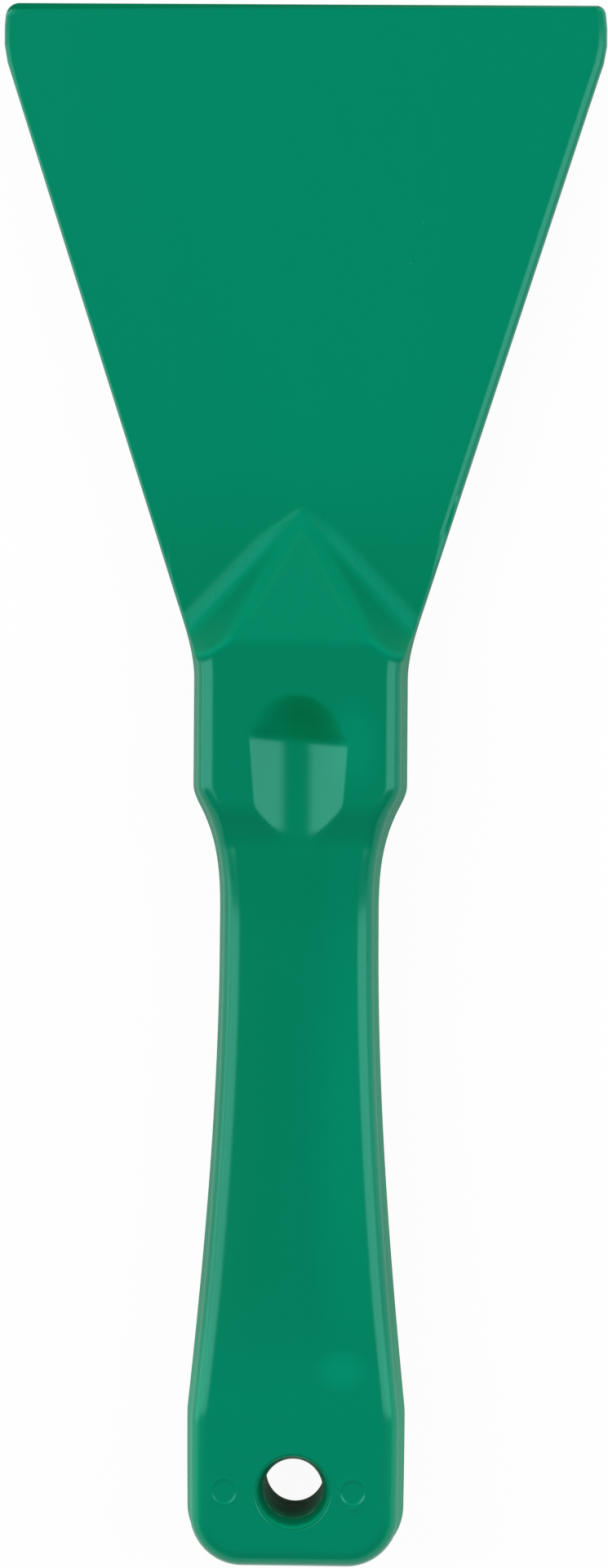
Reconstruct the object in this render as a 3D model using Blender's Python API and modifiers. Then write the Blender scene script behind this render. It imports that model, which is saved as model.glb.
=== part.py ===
# Hand scraper moulded in one piece from green plastic. A flat blade runs through a wedge-shaped neck
# into a bolster with a thumb hollow on each face, and on into a waisted handle with a hanging hole.
# It lies on its back face: X across the blade, +Y toward the scraping edge, +Z up. All sizes in metres.

import math

import bmesh
import bpy
from mathutils import Vector

# Lengths along Y, in order from the tail to the scraping edge
tail_pad_length = 0.0266        # flat pad round the hanging hole
handle_length = 0.0792          # pad to waist
neck_length = 0.0210            # waist to the rear shoulder
shoulder_length = 0.0047        # rear shoulder to the bolster's straight sides
bolster_length = 0.0178         # the bolster's straight sides
throat_length = 0.0135          # where those sides run out into the blade's
blade_side_length = 0.0909      # straight slanted sides of the blade
blade_corner_length = 0.0099    # short upright sides beside the scraping edge

# Widths across X
tail_width = 0.0364
waist_width = 0.0265
shoulder_width = 0.0327
bolster_width = 0.0360
blade_root_width = 0.0422       # where the slanted sides begin
blade_shoulder_width = 0.1007   # where they end
blade_width = 0.1020            # widest, just behind the scraping edge

# Slopes of the side line, as half width gained for each unit of length
tail_flare = 0.104
shoulder_flare = 0.475

# Thicknesses along Z
tail_thickness = 0.0210
waist_thickness = 0.0165
rear_foot_thickness = 0.0177
bolster_thickness = 0.0210
blade_thickness = 0.0032
edge_thickness = 0.0014

# The bolster's flat face and the wedge in front of it
face_behind_sides = 0.0041      # how far the face reaches behind the straight sides
face_before_sides = 0.0060      # and how far in front of them
rear_slope_length = 0.0066
rear_slope = 0.32
wedge_length = 0.0239           # face to the line where the wedge's top meets the blade
wedge_half_angle = 41.2         # each flank's foot, from the centre line, in degrees
flank_steepness = 55.0          # degrees from the blade's plane
flank_lead = 0.0005             # the flanks' feet meet this far in front of the wedge's top, so its tip is blunt

# Rounded edges and mould draft
body_fillet = 0.0035
blade_fillet = 0.00125
wall_draft = 6.0                # degrees
tail_corner_radius = 0.0100
blade_corner_radius = 0.0017
edge_bevel_length = 0.0020

# Overlaps that are buried where the blade and the body run into each other
blade_bury = 0.0068             # the blade's root, behind the bolster's front corners
throat_overlap = 0.0070         # where the body's side line stops short of the blade's straight sides
nose_thickness = 0.0008         # the wedge's hidden front end, inside the blade
nose_length = 0.0060

# Thumb hollow on each face of the bolster
hollow_radius = 0.0143
hollow_depth = 0.0029
hollow_crease_setback = 0.0159  # crease behind the face's front edge
hollow_floor_angle = 4.0        # the long floor, rising toward the tail, in degrees
hollow_front_angle = 26.0       # the short front end, rising toward the blade, in degrees

# Hanging hole
hole_diameter = 0.0102
hole_mouth_diameter = 0.0122
hole_mouth_depth = 0.00345
hole_from_tail = 0.0142

# Ejector marks beside the hole, on the front face only
mark_diameter = 0.0042
mark_depth = 0.0002
left_mark_offset = 0.0114
right_mark_offset = 0.0101
mark_setback = 0.0003           # toward the tail from the hole's centre

# Finish
body_colour = (0.0, 0.238, 0.125)
body_roughness = 0.32

# Fineness of the curved surfaces
fillet_steps = 4
corner_steps = 6
curve_steps = 12
neck_steps = 4
slope_steps = 5
shoulder_steps = 3
throat_steps = 4
hollow_sides = 72
hole_sides = 40

# Places along Y, with the middle of the whole length at zero
overall_length = (tail_pad_length + handle_length + neck_length + shoulder_length + bolster_length
                  + throat_length + blade_side_length + blade_corner_length)
tail_end = -overall_length / 2
pad_front = tail_end + tail_pad_length
waist = pad_front + handle_length
rear_shoulder = waist + neck_length
sides_rear = rear_shoulder + shoulder_length
sides_front = sides_rear + bolster_length
blade_root = sides_front + throat_length
blade_shoulder = blade_root + blade_side_length
scraping_edge = blade_shoulder + blade_corner_length
face_rear = sides_rear - face_behind_sides
face_front = sides_front + face_before_sides
rear_foot = face_rear - rear_slope_length
wedge_point = face_front + wedge_length
hollow_crease = face_front - hollow_crease_setback
hole_place = tail_end + hole_from_tail

# The mid-plane's height over the surface that the scraper lies on
mid_height = max(bolster_thickness, tail_thickness) / 2

blade_slope = (blade_shoulder_width - blade_root_width) / 2 / blade_side_length
wedge_slope = (bolster_thickness - blade_thickness) / 2 / wedge_length
nose_start = wedge_point + (blade_thickness - nose_thickness) / 2 / wedge_slope
nose_end = nose_start + nose_length


def smooth_curve(place, stations):
    """Height of the cubic curve that runs through stations of (place, height, slope)."""
    if place <= stations[0][0]:
        return stations[0][1]
    for (start, low, slope_in), (end, high, slope_out) in zip(stations, stations[1:]):
        if place <= end:
            span = end - start
            t = (place - start) / span
            return ((1 + 2 * t) * (1 - t) ** 2 * low + t * (1 - t) ** 2 * span * slope_in
                    + t * t * (3 - 2 * t) * high - t * t * (1 - t) * span * slope_out)
    return stations[-1][1]


def blade_line(place):
    """Half width of the blade's straight slanted side, carried on toward the handle."""
    return blade_root_width / 2 + blade_slope * (place - blade_root)


def body_half_width(place):
    """Half width of the tail, handle and bolster at mid-thickness."""
    return smooth_curve(place, [
        (pad_front, tail_width / 2, -tail_flare),
        (waist, waist_width / 2, 0),
        (rear_shoulder, shoulder_width / 2, shoulder_flare),
        (sides_rear, bolster_width / 2, 0),
        (sides_front, bolster_width / 2, 0),
        (blade_root, blade_line(blade_root), blade_slope),
    ])


def body_half_thickness(place):
    """Half thickness from the tail to the wedge's hidden front end."""
    if place > face_front:
        return max(nose_thickness / 2, bolster_thickness / 2 - wedge_slope * (place - face_front))
    if place > face_rear:
        return bolster_thickness / 2
    return smooth_curve(place, [
        (pad_front, tail_thickness / 2, -tail_flare / 2),
        (waist, waist_thickness / 2, 0),
        (rear_foot, rear_foot_thickness / 2, 0.03),
        (face_rear, bolster_thickness / 2, rear_slope),
    ])


def edge_profile(half_thickness):
    """Inset and height of points up the drafted wall and round its fillet to the face."""
    draft = math.radians(wall_draft)
    radius = min(body_fillet, half_thickness * 0.6)
    centre_inset = (radius + (half_thickness - radius) * math.sin(draft)) / math.cos(draft)
    points = [(0.0, 0.0)]
    for step in range(fillet_steps + 1):
        angle = draft + (math.pi / 2 - draft) * step / fillet_steps
        height = half_thickness - radius + radius * math.sin(angle)
        points.append((centre_inset - radius * math.cos(angle), height))
    return points


def body_stations():
    """Places along Y where the body gets a section, from the tail's corners to inside the blade."""
    bends = sorted([
        (tail_end + tail_corner_radius, 1),
        (pad_front, curve_steps),
        (waist, neck_steps),
        (rear_foot, slope_steps),
        (rear_shoulder, shoulder_steps),
        (face_rear, shoulder_steps),
        (sides_rear, 1),
        (sides_front, throat_steps),
        (face_front, 1),
        (nose_start, 1),
    ])
    ends = [place for place, count in bends[1:]] + [nose_end]
    places = []
    for (start, count), end in zip(bends, ends):
        places += [start + (end - start) * step / count for step in range(count)]
    return places + [nose_end]


def body_columns():
    """Columns of points for one quarter of the body, each from mid-thickness up to the centre line."""
    columns = []
    profile = edge_profile(tail_thickness / 2)
    corner_x = tail_width / 2 - tail_corner_radius
    corner_y = tail_end + tail_corner_radius
    columns.append([Vector((0, tail_end + inset, height)) for inset, height in profile])
    for step in range(corner_steps):
        angle = math.pi / 2 * (1 - step / corner_steps)
        columns.append([Vector((corner_x + (tail_corner_radius - inset) * math.cos(angle),
                                corner_y - (tail_corner_radius - inset) * math.sin(angle),
                                height)) for inset, height in profile])
    for place in body_stations():
        half_width = body_half_width(min(place, blade_root - throat_overlap))
        profile = edge_profile(body_half_thickness(place))
        columns.append([Vector((half_width - inset, place, height)) for inset, height in profile])
    columns.append([Vector((0, point.y, point.z)) for point in columns[-1]])
    return [column + [Vector((0, column[-1].y, column[-1].z))] for column in columns]


def new_object(name, mesh, collection):
    """Object in a collection, carried by the frame empty at mid-thickness."""
    thing = bpy.data.objects.new(name, mesh)
    collection.objects.link(thing)
    thing.parent = frame
    return thing


def as_cutter(thing):
    """Marks a helper that only shapes the body."""
    thing.hide_render = True
    thing.display_type = "WIRE"
    return thing


def add_boolean(thing, tool, operation):
    """Live Boolean of one object by another."""
    modifier = thing.modifiers.new(f"{operation.lower()} {tool.name}", "BOOLEAN")
    modifier.operation = operation
    modifier.object = tool


def cut_flank(bm):
    """Cuts the quarter along one flank of the wedge and closes the cut with one face."""
    turn = math.radians(wedge_half_angle)
    steepness = math.radians(flank_steepness)
    outward = Vector((math.cos(turn), math.sin(turn), 0))
    normal = outward * math.sin(steepness) + Vector((0, 0, math.cos(steepness)))
    foot = Vector((0, wedge_point + flank_lead, blade_thickness / 2))
    everything = bm.verts[:] + bm.edges[:] + bm.faces[:]
    cut = bmesh.ops.bisect_plane(bm, geom=everything, dist=1e-7, plane_co=foot, plane_no=normal,
                                 clear_outer=True)
    edges = [item for item in cut["geom_cut"] if isinstance(item, bmesh.types.BMEdge)]
    ends = [vertex for vertex in {vertex for edge in edges for vertex in edge.verts}
            if sum(edge in edges for edge in vertex.link_edges) == 1]
    outer, inner = sorted(ends, key=lambda vertex: vertex.co.y)
    front = foot.y + foot.z * normal.z / normal.y
    corner = bm.verts.new((0, front, 0))
    edges += [bm.edges.new((inner, corner)), bm.edges.new((corner, outer))]
    bmesh.ops.edgeloop_fill(bm, edges=edges)


def make_body():
    """Tail, handle, bolster and wedge: a quarter lofted by hand, cut and mirrored."""
    bm = bmesh.new()
    grid = [[bm.verts.new(point) for point in column] for column in body_columns()]
    for near, far in zip(grid, grid[1:]):
        for low in range(len(near) - 1):
            bm.faces.new((near[low], far[low], far[low + 1], near[low + 1]))
    bmesh.ops.remove_doubles(bm, verts=bm.verts, dist=1e-6)
    bmesh.ops.dissolve_degenerate(bm, edges=bm.edges, dist=1e-6)
    cut_flank(bm)
    bmesh.ops.recalc_face_normals(bm, faces=bm.faces)
    mesh = bpy.data.meshes.new("scraper_body")
    bm.to_mesh(mesh)
    bm.free()
    body = new_object("scraper_body", mesh, parts)
    mirror = body.modifiers.new("both sides and faces", "MIRROR")
    mirror.use_axis = (True, False, True)
    mirror.merge_threshold = 0.00001
    return body


def arc_points(centre_x, centre_y, radius, start, end, steps):
    """Points on an arc, with angles in degrees from +X."""
    points = []
    for step in range(steps + 1):
        angle = math.radians(start + (end - start) * step / steps)
        points.append((centre_x + radius * math.cos(angle), centre_y + radius * math.sin(angle)))
    return points


def blade_outline():
    """Right half of the blade's outline, from its buried root to the scraping edge."""
    widest = scraping_edge - blade_corner_length / 2
    root = sides_front - blade_bury
    points = [(blade_line(root), root), (blade_shoulder_width / 2, blade_shoulder)]
    points.append((blade_width / 2, widest))
    corner_x = blade_width / 2 - blade_corner_radius
    corner_y = scraping_edge - blade_corner_radius
    points += arc_points(corner_x, corner_y, blade_corner_radius, 0, 90, corner_steps)
    return points


def make_blade():
    """Flat blade with rounded edges and a thinned scraping edge."""
    right = blade_outline()
    left = [(-x, y) for x, y in reversed(right)]
    curve = bpy.data.curves.new("blade outline", "CURVE")
    curve.dimensions = "2D"
    curve.fill_mode = "BOTH"
    curve.extrude = blade_thickness / 2 - blade_fillet
    curve.bevel_depth = blade_fillet
    curve.bevel_resolution = 2
    curve.offset = -blade_fillet
    spline = curve.splines.new("POLY")
    spline.points.add(len(right) + len(left) - 1)
    for point, (x, y) in zip(spline.points, right + left):
        point.co = (x, y, 0, 1)
    spline.use_cyclic_u = True
    outline = new_object("blade outline", curve, cutters)
    evaluated = outline.evaluated_get(bpy.context.evaluated_depsgraph_get())
    mesh = bpy.data.meshes.new_from_object(evaluated)
    bpy.data.objects.remove(outline)
    bpy.data.curves.remove(curve)

    bm = bmesh.new()
    bm.from_mesh(mesh)
    bmesh.ops.remove_doubles(bm, verts=bm.verts, dist=1e-6)
    bevel_start = scraping_edge - edge_bevel_length
    everything = bm.verts[:] + bm.edges[:] + bm.faces[:]
    bmesh.ops.bisect_plane(bm, geom=everything, plane_co=(0, bevel_start, 0), plane_no=(0, 1, 0))
    thinning = 1 - edge_thickness / blade_thickness
    for vertex in bm.verts:
        share = max(0.0, (vertex.co.y - bevel_start) / edge_bevel_length)
        vertex.co.z *= 1 - thinning * share
    bmesh.ops.recalc_face_normals(bm, faces=bm.faces)
    bm.to_mesh(mesh)
    bm.free()
    return as_cutter(new_object("blade", mesh, cutters))


def make_hollow_rod(face, angle):
    """Long round rod whose lowest line passes through the hollow's crease at an angle to the face."""
    floor = bolster_thickness / 2 - hollow_depth
    bpy.ops.mesh.primitive_cylinder_add(vertices=hollow_sides, radius=hollow_radius,
                                        depth=6 * hollow_radius)
    rod = bpy.context.object
    for collection in rod.users_collection:
        collection.objects.unlink(rod)
    cutters.objects.link(rod)
    rod.parent = frame
    tilt = math.radians(angle)
    rise = Vector((0, -math.sin(tilt), math.cos(tilt)))
    place = Vector((0, hollow_crease, floor)) + rise * hollow_radius
    rod.location = (0, place.y, face * place.z)
    rod.rotation_euler = (math.pi / 2 + face * tilt, 0, 0)
    return as_cutter(rod)


def make_hollow_cutter(face):
    """Thumb hollow: the overlap of two tilted rods that cross at the crease."""
    floor_rod = make_hollow_rod(face, -hollow_floor_angle)
    front_rod = make_hollow_rod(face, hollow_front_angle)
    add_boolean(floor_rod, front_rod, "INTERSECT")
    floor_rod.name = "hollow cutter"
    front_rod.name = "hollow front rod"
    return floor_rod


def make_turned_cutter(name, profile, sides):
    """Solid turned round Z from a profile of (radius, height) that runs from the top down."""
    mesh = bpy.data.meshes.new(name)
    points = [(radius, 0, height) for radius, height in profile]
    mesh.from_pydata(points, [(first, first + 1) for first in range(len(points) - 1)], [])
    cutter = new_object(name, mesh, cutters)
    screw = cutter.modifiers.new("turn", "SCREW")
    screw.steps = sides
    screw.render_steps = sides
    screw.use_merge_vertices = True
    screw.merge_threshold = 0.00001
    return as_cutter(cutter)


def make_hole_cutter():
    """Hanging hole with a steep flared mouth on each face."""
    mouth_low = tail_thickness / 2 - hole_mouth_depth
    flare = (hole_mouth_diameter - hole_diameter) / 2 / hole_mouth_depth
    overshoot = 0.001
    top = tail_thickness / 2 + overshoot
    upper = [(0, top), (hole_mouth_diameter / 2 + flare * overshoot, top), (hole_diameter / 2, mouth_low)]
    lower = [(radius, -height) for radius, height in reversed(upper)]
    cutter = make_turned_cutter("hole cutter", upper + lower, hole_sides)
    cutter.location = (0, hole_place, 0)
    return cutter


def make_mark_cutter(offset):
    """Shallow round ejector mark beside the hole."""
    top = tail_thickness / 2
    radius = mark_diameter / 2
    profile = [(0, top + 0.001), (radius, top + 0.001), (radius, top - mark_depth), (0, top - mark_depth)]
    cutter = make_turned_cutter("mark cutter", profile, hole_sides)
    cutter.location = (offset, hole_place - mark_setback, 0)
    return cutter


def make_material():
    """Semi-gloss green moulded plastic."""
    material = bpy.data.materials.new("moulded green plastic")
    material.use_nodes = True
    shader = material.node_tree.nodes["Principled BSDF"]
    shader.inputs["Base Color"].default_value = (*body_colour, 1)
    shader.inputs["Roughness"].default_value = body_roughness
    shader.inputs["Metallic"].default_value = 0
    return material


for leftover in list(bpy.data.objects):
    bpy.data.objects.remove(leftover)

parts = bpy.data.collections.new("hand_scraper")
cutters = bpy.data.collections.new("cutters")
bpy.context.scene.collection.children.link(parts)
bpy.context.scene.collection.children.link(cutters)
frame = bpy.data.objects.new("mid_plane", None)
frame.location = (0, 0, mid_height)
parts.objects.link(frame)

scraper = make_body()
add_boolean(scraper, make_blade(), "UNION")
for face in (1, -1):
    add_boolean(scraper, make_hollow_cutter(face), "DIFFERENCE")
add_boolean(scraper, make_hole_cutter(), "DIFFERENCE")
for offset in (-left_mark_offset, right_mark_offset):
    add_boolean(scraper, make_mark_cutter(offset), "DIFFERENCE")
scraper.data.materials.append(make_material())
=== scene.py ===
# Looks of a hand scraper moulded in one piece from green plastic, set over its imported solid
import math

import bpy
import numpy as np
from mathutils import Matrix, Vector


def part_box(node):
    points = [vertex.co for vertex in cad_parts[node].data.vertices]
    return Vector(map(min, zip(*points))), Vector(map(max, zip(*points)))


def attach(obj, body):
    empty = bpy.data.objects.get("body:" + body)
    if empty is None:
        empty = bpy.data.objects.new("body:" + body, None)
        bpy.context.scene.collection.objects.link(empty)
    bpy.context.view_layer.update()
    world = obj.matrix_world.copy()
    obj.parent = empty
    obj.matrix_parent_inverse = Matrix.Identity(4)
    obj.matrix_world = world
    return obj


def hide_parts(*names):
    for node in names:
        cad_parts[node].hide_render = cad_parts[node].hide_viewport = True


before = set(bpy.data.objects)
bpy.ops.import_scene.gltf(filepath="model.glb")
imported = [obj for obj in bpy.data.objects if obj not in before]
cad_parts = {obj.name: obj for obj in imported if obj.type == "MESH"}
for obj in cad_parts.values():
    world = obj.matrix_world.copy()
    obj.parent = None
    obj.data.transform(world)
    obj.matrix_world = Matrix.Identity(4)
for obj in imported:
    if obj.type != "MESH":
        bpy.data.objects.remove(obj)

print("scraper: frame loaded")
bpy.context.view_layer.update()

# The solid gives the whole length, width and thickness. Shapes are worked out in millimetres,
# with z measured from the mould's parting plane half way up.
mm = 0.001
bodyLow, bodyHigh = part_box("scraper_body")
tailEnd = bodyLow.y / mm
scrapingEdge = bodyHigh.y / mm
widest = bodyHigh.x / mm
midHeight = (bodyLow.z + bodyHigh.z) / 2
halfThickness = (bodyHigh.z - bodyLow.z) / 2 / mm

scraper = {
    # lengths along y, from the tail to the blade's front corners
    "tailPad": 26.6, "handle": 79.2, "neck": 21.0, "shoulder": 4.7, "bolster": 17.8,
    "throat": 13.5, "bladeSide": 90.9, "bladeBulge": 5.0,
    # half widths, and slopes of the side line
    "tailHalf": 18.35, "waistHalf": 13.45, "shoulderHalf": 16.35, "bolsterHalf": 18.1,
    "rootHalf": 21.2, "bladeHalf": 50.5, "edgeHalf": 50.6, "tailTaper": 0.15, "padSwell": 0.08,
    "tailSlope": 0.01, "tailFlare": 0.104, "shoulderFlare": 0.475, "edgeFlare": -0.08,
    # half thicknesses
    "waistThick": 8.25, "footThick": 8.85, "bladeThick": 1.6,
    # bolster face, slope behind it and wedge before it
    "faceBehind": 4.1, "faceBefore": 6.0, "rearSlopeLength": 6.6, "rearSlope": 0.32, "footSlope": 0.03,
    "wedge": 23.9, "wedgeAngle": 42.0, "flankAngle": 53.5, "wedgeLead": -0.93, "wedgeBlunt": 0.5,
    "armRadiusPoint": 5.0, "armRadiusEnd": 6.5, "armLength": 26.0,
    "cornerX": 14.35, "cornerAhead": -1.6, "cornerAngle": 58.0, "cornerSlope": 60.0,
    # cornerLine is the half width of the painted highlight along the bolster's front corner line
    "cornerRadius": 3.5, "cornerLine": 0.7,
    # rounded edges, draft and the parting line's thin flash
    "fillet": 3.2, "draft": 6.0, "tailCorner": 9.4, "bladeCornerLeft": 2.1, "bladeCornerRight": 1.4,
    "bladeRoundLeft": 0.48, "bladeRoundRight": 1.9, "bulgeRound": 0.6, "flash": 0.05,
    "edgeChamfer": 0.775, "chamferTaper": 0.0074, "edgeLip": 0.45, "lipRound": 0.15, "lipDepth": 0.1,
    "edgeSkew": 0.0033,
    "handleCrown": 0.5,
    # the tail pad lies a hair lower than the bolster's face, so the marks' burr stands no higher than
    # the solid
    "padSunk": 0.05,
    # softness of the lines where two surfaces meet
    "ridgeSoft": 2.7, "ridgeLeast": 0.2, "hollowSoft": 0.4, "hollowFrontSoft": 1.1,
    "hollowCreaseSoft": 0.2, "creaseSoft": 0.5, "faceFrontSoft": 0.25, "cornerSoft": 0.8, "chamferSoft": 0.5,
    "bladeSideSoft": 0.12,
    # thumb hollow
    "hollowShift": -0.12, "hollowRadius": 14.4, "hollowDepth": 2.35, "creaseSetback": 16.6,
    "hollowFloor": 2.66, "hollowFront": 6.0, "hollowNarrow": 0.3, "hollowTurn": 4.6,
    # hollowShade and hollowShadeX: half width and middle of the painted shade in the bowl
    "hollowReach": 30, "bowlReach": 12, "hollowShade": 6.1, "hollowShadeX": 1.3,
}

# Where one surface or finish gives way to the next: the start and the end of each ramp, in millimetres
ramps = {
    # along y, counted from the place that the code names
    "handleCrowned": (0, 25), "handleFlat": (-12, 0), "ridgeWider": (-1, 9), "bladeIn": (-4, 3),
    "bulgeRounder": (-3, 2), "skewed": (-15, 0), "cornerLineEnd": (0, 1.2), "bowlNarrower": (0, 2.5),
    "bowlFront": (-0.6, 1.2),
    # inward from the outline
    "offSide": (0.3, 1.2),
    # up the wall, or up from the blade
    "wallCrowned": (3, 7), "ridgeUp": (0.5, 3), "cornerUp": (0, 1.5),
    "flankUp": (1.1, 2.6), "mattUp": (0.6, 1.6), "footStart": (0, 0.3), "footEnd": (0.5, 1.7),
    # how far one surface lies under the other
    "flankClear": (0.3, 2.0), "mattNear": (-2.2, -0.3), "bowlUnder": (-1.45, -0.2),
}

hangingHole = {
    "fromTail": 13.7, "aside": -0.22, "radius": 4.95, "mouthRadius": 6.05, "mouthDepth": 3.45,
    "throatStep": 0.06, "throatDrop": 0.12, "mouthCurve": 1.5, "lip": 0.12, "lipRings": 4,
    "mouthRings": 9, "boreRings": 5, "blockCells": 17, "reach": 1.35,
}

ejectorMarks = [
    {"x": -11.65, "back": 0.0, "radius": 2.1, "depth": 0.08, "burr": 0.03, "nib": 0.0},
    {"x": 9.85, "back": 0.0, "radius": 2.1, "depth": 0.12, "burr": 0.04, "nib": 0.15},
]
markForm = {
    # width of the recess wall and of the burr, and the nib's half width, gap, taper and rounding
    "wall": 0.16, "burrWidth": 0.12,
    "nibHalf": 0.9, "nibGap": 0.15, "nibTaper": 0.65, "nibRound": (0.35, 0.3),
    # rings of cells: shares of the radius inside, millimetres past it at the rim, and the step outside
    "cells": 5, "inner": (0, 0.27, 0.55), "rim": (-0.45, -0.16, 0, 0.14, 0.3),
    "outerStep": 0.4, "outerRings": 11, "reach": 1.45,
}

grid = {
    "wallSteps": 9, "filletSteps": 12, "innerColumns": 38,
    # distance between rows: round the hole, the pad's front line and the wedge, and on the plain parts
    "fine": 0.36, "tailStep": 0.5, "padStep": 0.6, "creaseStep": 0.24, "handleStep": 1.35,
    "pointStep": 1.0, "bladeStep": 3.0,
    # how far the close rows go on past the pad's front line, the rear slope's foot and the wedge's point
    "creaseReach": 1.2, "footReach": 5, "pointReach": 3, "farReach": 8, "holeMargin": 3,
}

# Places along y
padFront = tailEnd + scraper["tailPad"]
waist = padFront + scraper["handle"]
rearShoulder = waist + scraper["neck"]
sidesRear = rearShoulder + scraper["shoulder"]
sidesFront = sidesRear + scraper["bolster"]
bladeRoot = sidesFront + scraper["throat"]
bladeShoulder = bladeRoot + scraper["bladeSide"]
faceRear = sidesRear - scraper["faceBehind"]
faceFront = sidesFront + scraper["faceBefore"]
rearFoot = faceRear - scraper["rearSlopeLength"]
wedgePoint = faceFront + scraper["wedge"]
hollowCrease = faceFront - scraper["creaseSetback"]
holePlace = tailEnd + hangingHole["fromTail"]
padTop = halfThickness - scraper["padSunk"]
bladeSlope = (scraper["bladeHalf"] - scraper["rootHalf"]) / scraper["bladeSide"]
wedgeSlope = (halfThickness - scraper["bladeThick"]) / scraper["wedge"]


def throughStations(y, stations):
    # cubic through (place, height, slope) stations, level outside them
    place, height, slope = np.array(stations).T
    y = np.clip(y, place[0], place[-1])
    k = np.clip(np.searchsorted(place, y, side="right") - 1, 0, len(place) - 2)
    span = place[k + 1] - place[k]
    t = (y - place[k]) / span
    return ((1 + 2 * t) * (1 - t) ** 2 * height[k] + t * (1 - t) ** 2 * span * slope[k]
            + t * t * (3 - 2 * t) * height[k + 1] - t * t * (1 - t) * span * slope[k + 1])


def softMin(a, b, width):
    # the lower of two heights, with the line where they cross rounded over the given width
    h = np.clip(0.5 + 0.5 * (b - a) / np.maximum(width, 1e-9), 0, 1)
    return b * (1 - h) + a * h - width * h * (1 - h)


def softMax(a, b, width):
    return -softMin(-a, -b, width)


def smoothRamp(value, start, end):
    # 0 before start, 1 after end, and a smooth S between them
    t = np.clip((value - start) / (end - start), 0, 1)
    return t * t * (3 - 2 * t)


def bladeCorner(side):
    return np.where(side < 0, scraper["bladeCornerLeft"], scraper["bladeCornerRight"])


def sideLine(y):
    # half width along y without the rounded corners: waisted handle, straight bolster, flared blade
    s = scraper
    return throughStations(y, [
        (tailEnd, s["tailHalf"] - s["tailTaper"], s["tailSlope"]),
        (padFront - 1.5, s["tailHalf"] + s["padSwell"], 0),
        (padFront, s["tailHalf"], -s["tailFlare"]),
        (waist, s["waistHalf"], 0),
        (rearShoulder, s["shoulderHalf"], s["shoulderFlare"]),
        (sidesRear, s["bolsterHalf"], 0),
        (sidesFront, s["bolsterHalf"], 0),
        (bladeRoot, s["rootHalf"], bladeSlope),
        (bladeShoulder, s["bladeHalf"], bladeSlope),
        (bladeShoulder + s["bladeBulge"], widest, 0),
        (scrapingEdge, s["edgeHalf"], s["edgeFlare"]),
    ])


def outlineHalfWidth(y, side):
    # the side line with a circular arc at each of its four corners
    line = sideLine(y)
    tailRadius = scraper["tailCorner"]
    behind = np.clip(tailEnd + tailRadius - y, 0, tailRadius)
    line = line - tailRadius + np.sqrt(tailRadius ** 2 - behind ** 2)
    radius = bladeCorner(side)
    ahead = np.clip(y - (scrapingEdge - radius), 0, radius)
    return line - radius + np.sqrt(radius ** 2 - ahead ** 2)


def insetFromSide(x, y):
    # distance in plan from the side, measured square to it, and round the corners along their radius
    step = 0.01
    slope = (sideLine(y + step) - sideLine(y - step)) / (2 * step)
    inset = (sideLine(y) - abs(x)) / np.sqrt(1 + slope ** 2)
    tailRadius = scraper["tailCorner"]
    cornerX, cornerY = sideLine(y) - tailRadius, tailEnd + tailRadius
    inTail = (y < cornerY) & (abs(x) > cornerX)
    inset = np.where(inTail, tailRadius - np.hypot(abs(x) - cornerX, cornerY - y), inset)
    inset = np.where((y < cornerY) & ~inTail, np.minimum(inset, y - tailEnd), inset)
    radius = bladeCorner(x)
    cornerX, cornerY = sideLine(y) - radius, scrapingEdge - radius
    inBlade = (y > cornerY) & (abs(x) > cornerX)
    inset = np.where(inBlade, radius - np.hypot(abs(x) - cornerX, y - cornerY), inset)
    return np.maximum(inset, 0), inBlade


def wallHeight(inset, top):
    # height up the drafted side wall and round its fillet, at an inset from the outline
    flash = scraper["flash"]
    inset = np.maximum(inset - flash, 0) + 0.002 * np.minimum(inset, flash) / flash
    draft = math.radians(scraper["draft"])
    radius = np.minimum(scraper["fillet"], top * 0.6)
    centre = (radius + (top - radius) * math.sin(draft)) / math.cos(draft)
    reach = np.clip(centre - inset, 0, radius)
    rounded = top - radius + np.sqrt(radius ** 2 - reach ** 2)
    return np.where(inset < centre - radius * math.cos(draft), inset / math.tan(draft), rounded)


def bodyTop(y):
    # half thickness along the middle: tail pad, waisted handle, slope, bolster face, wedge
    s = scraper
    behind = throughStations(y, [
        (padFront - s["creaseSoft"], padTop, 0),
        (padFront + s["creaseSoft"], padTop - s["tailFlare"] / 4, -s["tailFlare"] / 2),
        (waist, s["waistThick"], 0),
        (rearFoot, s["footThick"], s["footSlope"]),
        (faceRear, halfThickness, s["rearSlope"]),
    ])
    behind = softMin(behind + np.maximum(y - faceRear, 0) * s["rearSlope"], halfThickness, s["creaseSoft"])
    wedge = halfThickness - wedgeSlope * (y - faceFront)
    return np.where(y < (faceRear + faceFront) / 2, behind, softMin(wedge, halfThickness, s["faceFrontSoft"]))


def hollowRise(inside, slope, radius):
    # height over the blade at a distance inside a foot line: a hollow arc, then a straight slope
    run = inside + radius * math.tan(slope / 2)
    arc = radius - np.sqrt(radius ** 2 - np.clip(run, 0, radius * math.sin(slope)) ** 2)
    return arc + math.tan(slope) * np.maximum(run - radius * math.sin(slope), 0)


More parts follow.
